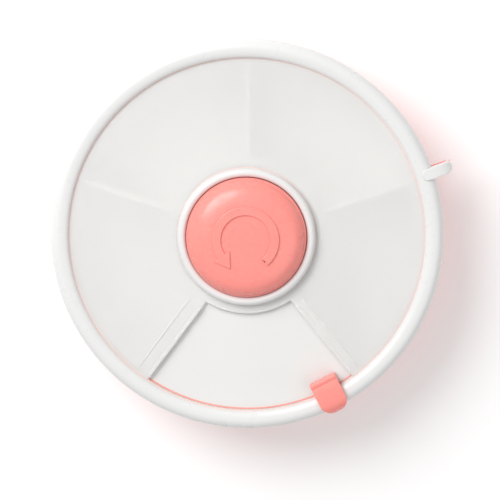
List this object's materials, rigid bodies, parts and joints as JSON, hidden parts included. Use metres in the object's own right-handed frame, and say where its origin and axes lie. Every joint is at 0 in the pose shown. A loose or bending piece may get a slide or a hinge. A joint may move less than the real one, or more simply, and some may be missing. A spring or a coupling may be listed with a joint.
{
  "type": "rotary pill and snack dispenser",
  "caption": "Round dispenser: a divided tray turns under a frosted lid, a centre push button steps it and a sliding door opens one sector.",
  "frame": {"origin": "centre of the flat underside of the base, on the tray's axis", "axes": "+Z along the tray's axis from the base to the push button; +Y is the lid's twelve o'clock, straight away from the door sector's side"},
  "size_m": [0.1553, 0.152, 0.0458],
  "materials": {
    "coral": "satin gloss",
    "white": "gloss",
    "frosted": "fine frost",
    "acetal": "satin",
    "coral_rubber": "matte",
    "silicone": "matte",
    "steel": "plain"
  },
  "bodies": {
    "base": {"base_shell": "coral", "pivot_post": "acetal", "thrust_washer": "acetal", "detent_arm": "steel", "pivot_screw": "steel", "detent_screw_1": "steel", "detent_screw_2": "steel"},
    "tray": {"tray": "frosted", "tray_hub": "acetal"},
    "lid": {"lid_ring": "white", "window": "frosted", "window_seal": "coral_rubber", "window_retainer": "white", "lid_gasket": "silicone", "hub_collar": "white", "collar_seal": "coral_rubber", "clamp_ring": "white", "housing_cap": "white", "cap_screw_1": "steel", "cap_screw_2": "steel", "cap_screw_3": "steel", "button_spring": "steel"},
    "door": {"door_panel": "frosted", "door_tab": "coral"},
    "button": {"button_cap": "coral", "plunger": "acetal", "plunger_screw": "steel"},
    "sleeve": {"drive_sleeve": "acetal"}
  },
  "joints": [
    {"name": "tray_spin", "type": "hinge", "parent": "base", "child": "tray", "pos_m": [0, 0, 0.0047], "axis": [0, 0, 1], "continuous": true},
    {"name": "lid_lift", "type": "slide", "parent": "base", "child": "lid", "axis": [0, 0, 1], "range_m": [0, 0.07]},
    {"name": "door_slide", "type": "hinge", "parent": "lid", "child": "door", "pos_m": [0, 0, 0.0325], "axis": [0, 0, -1], "range_deg": [0, 55]},
    {"name": "button_press", "type": "slide", "parent": "lid", "child": "button", "axis": [0, 0, -1], "range_m": [0, 0.005], "stiffness_N_per_m": 500, "springref_m": -0.006, "deforming": ["button_spring"]},
    {"name": "sleeve_turn", "type": "hinge", "parent": "lid", "child": "sleeve", "pos_m": [0, 0, 0.024], "axis": [0, 0, 1], "range_deg": [0, 72]}
  ],
  "couplings": [
    {"joint": "sleeve_turn", "follows": "button_press", "rad_per_m": 251.33}
  ]
}
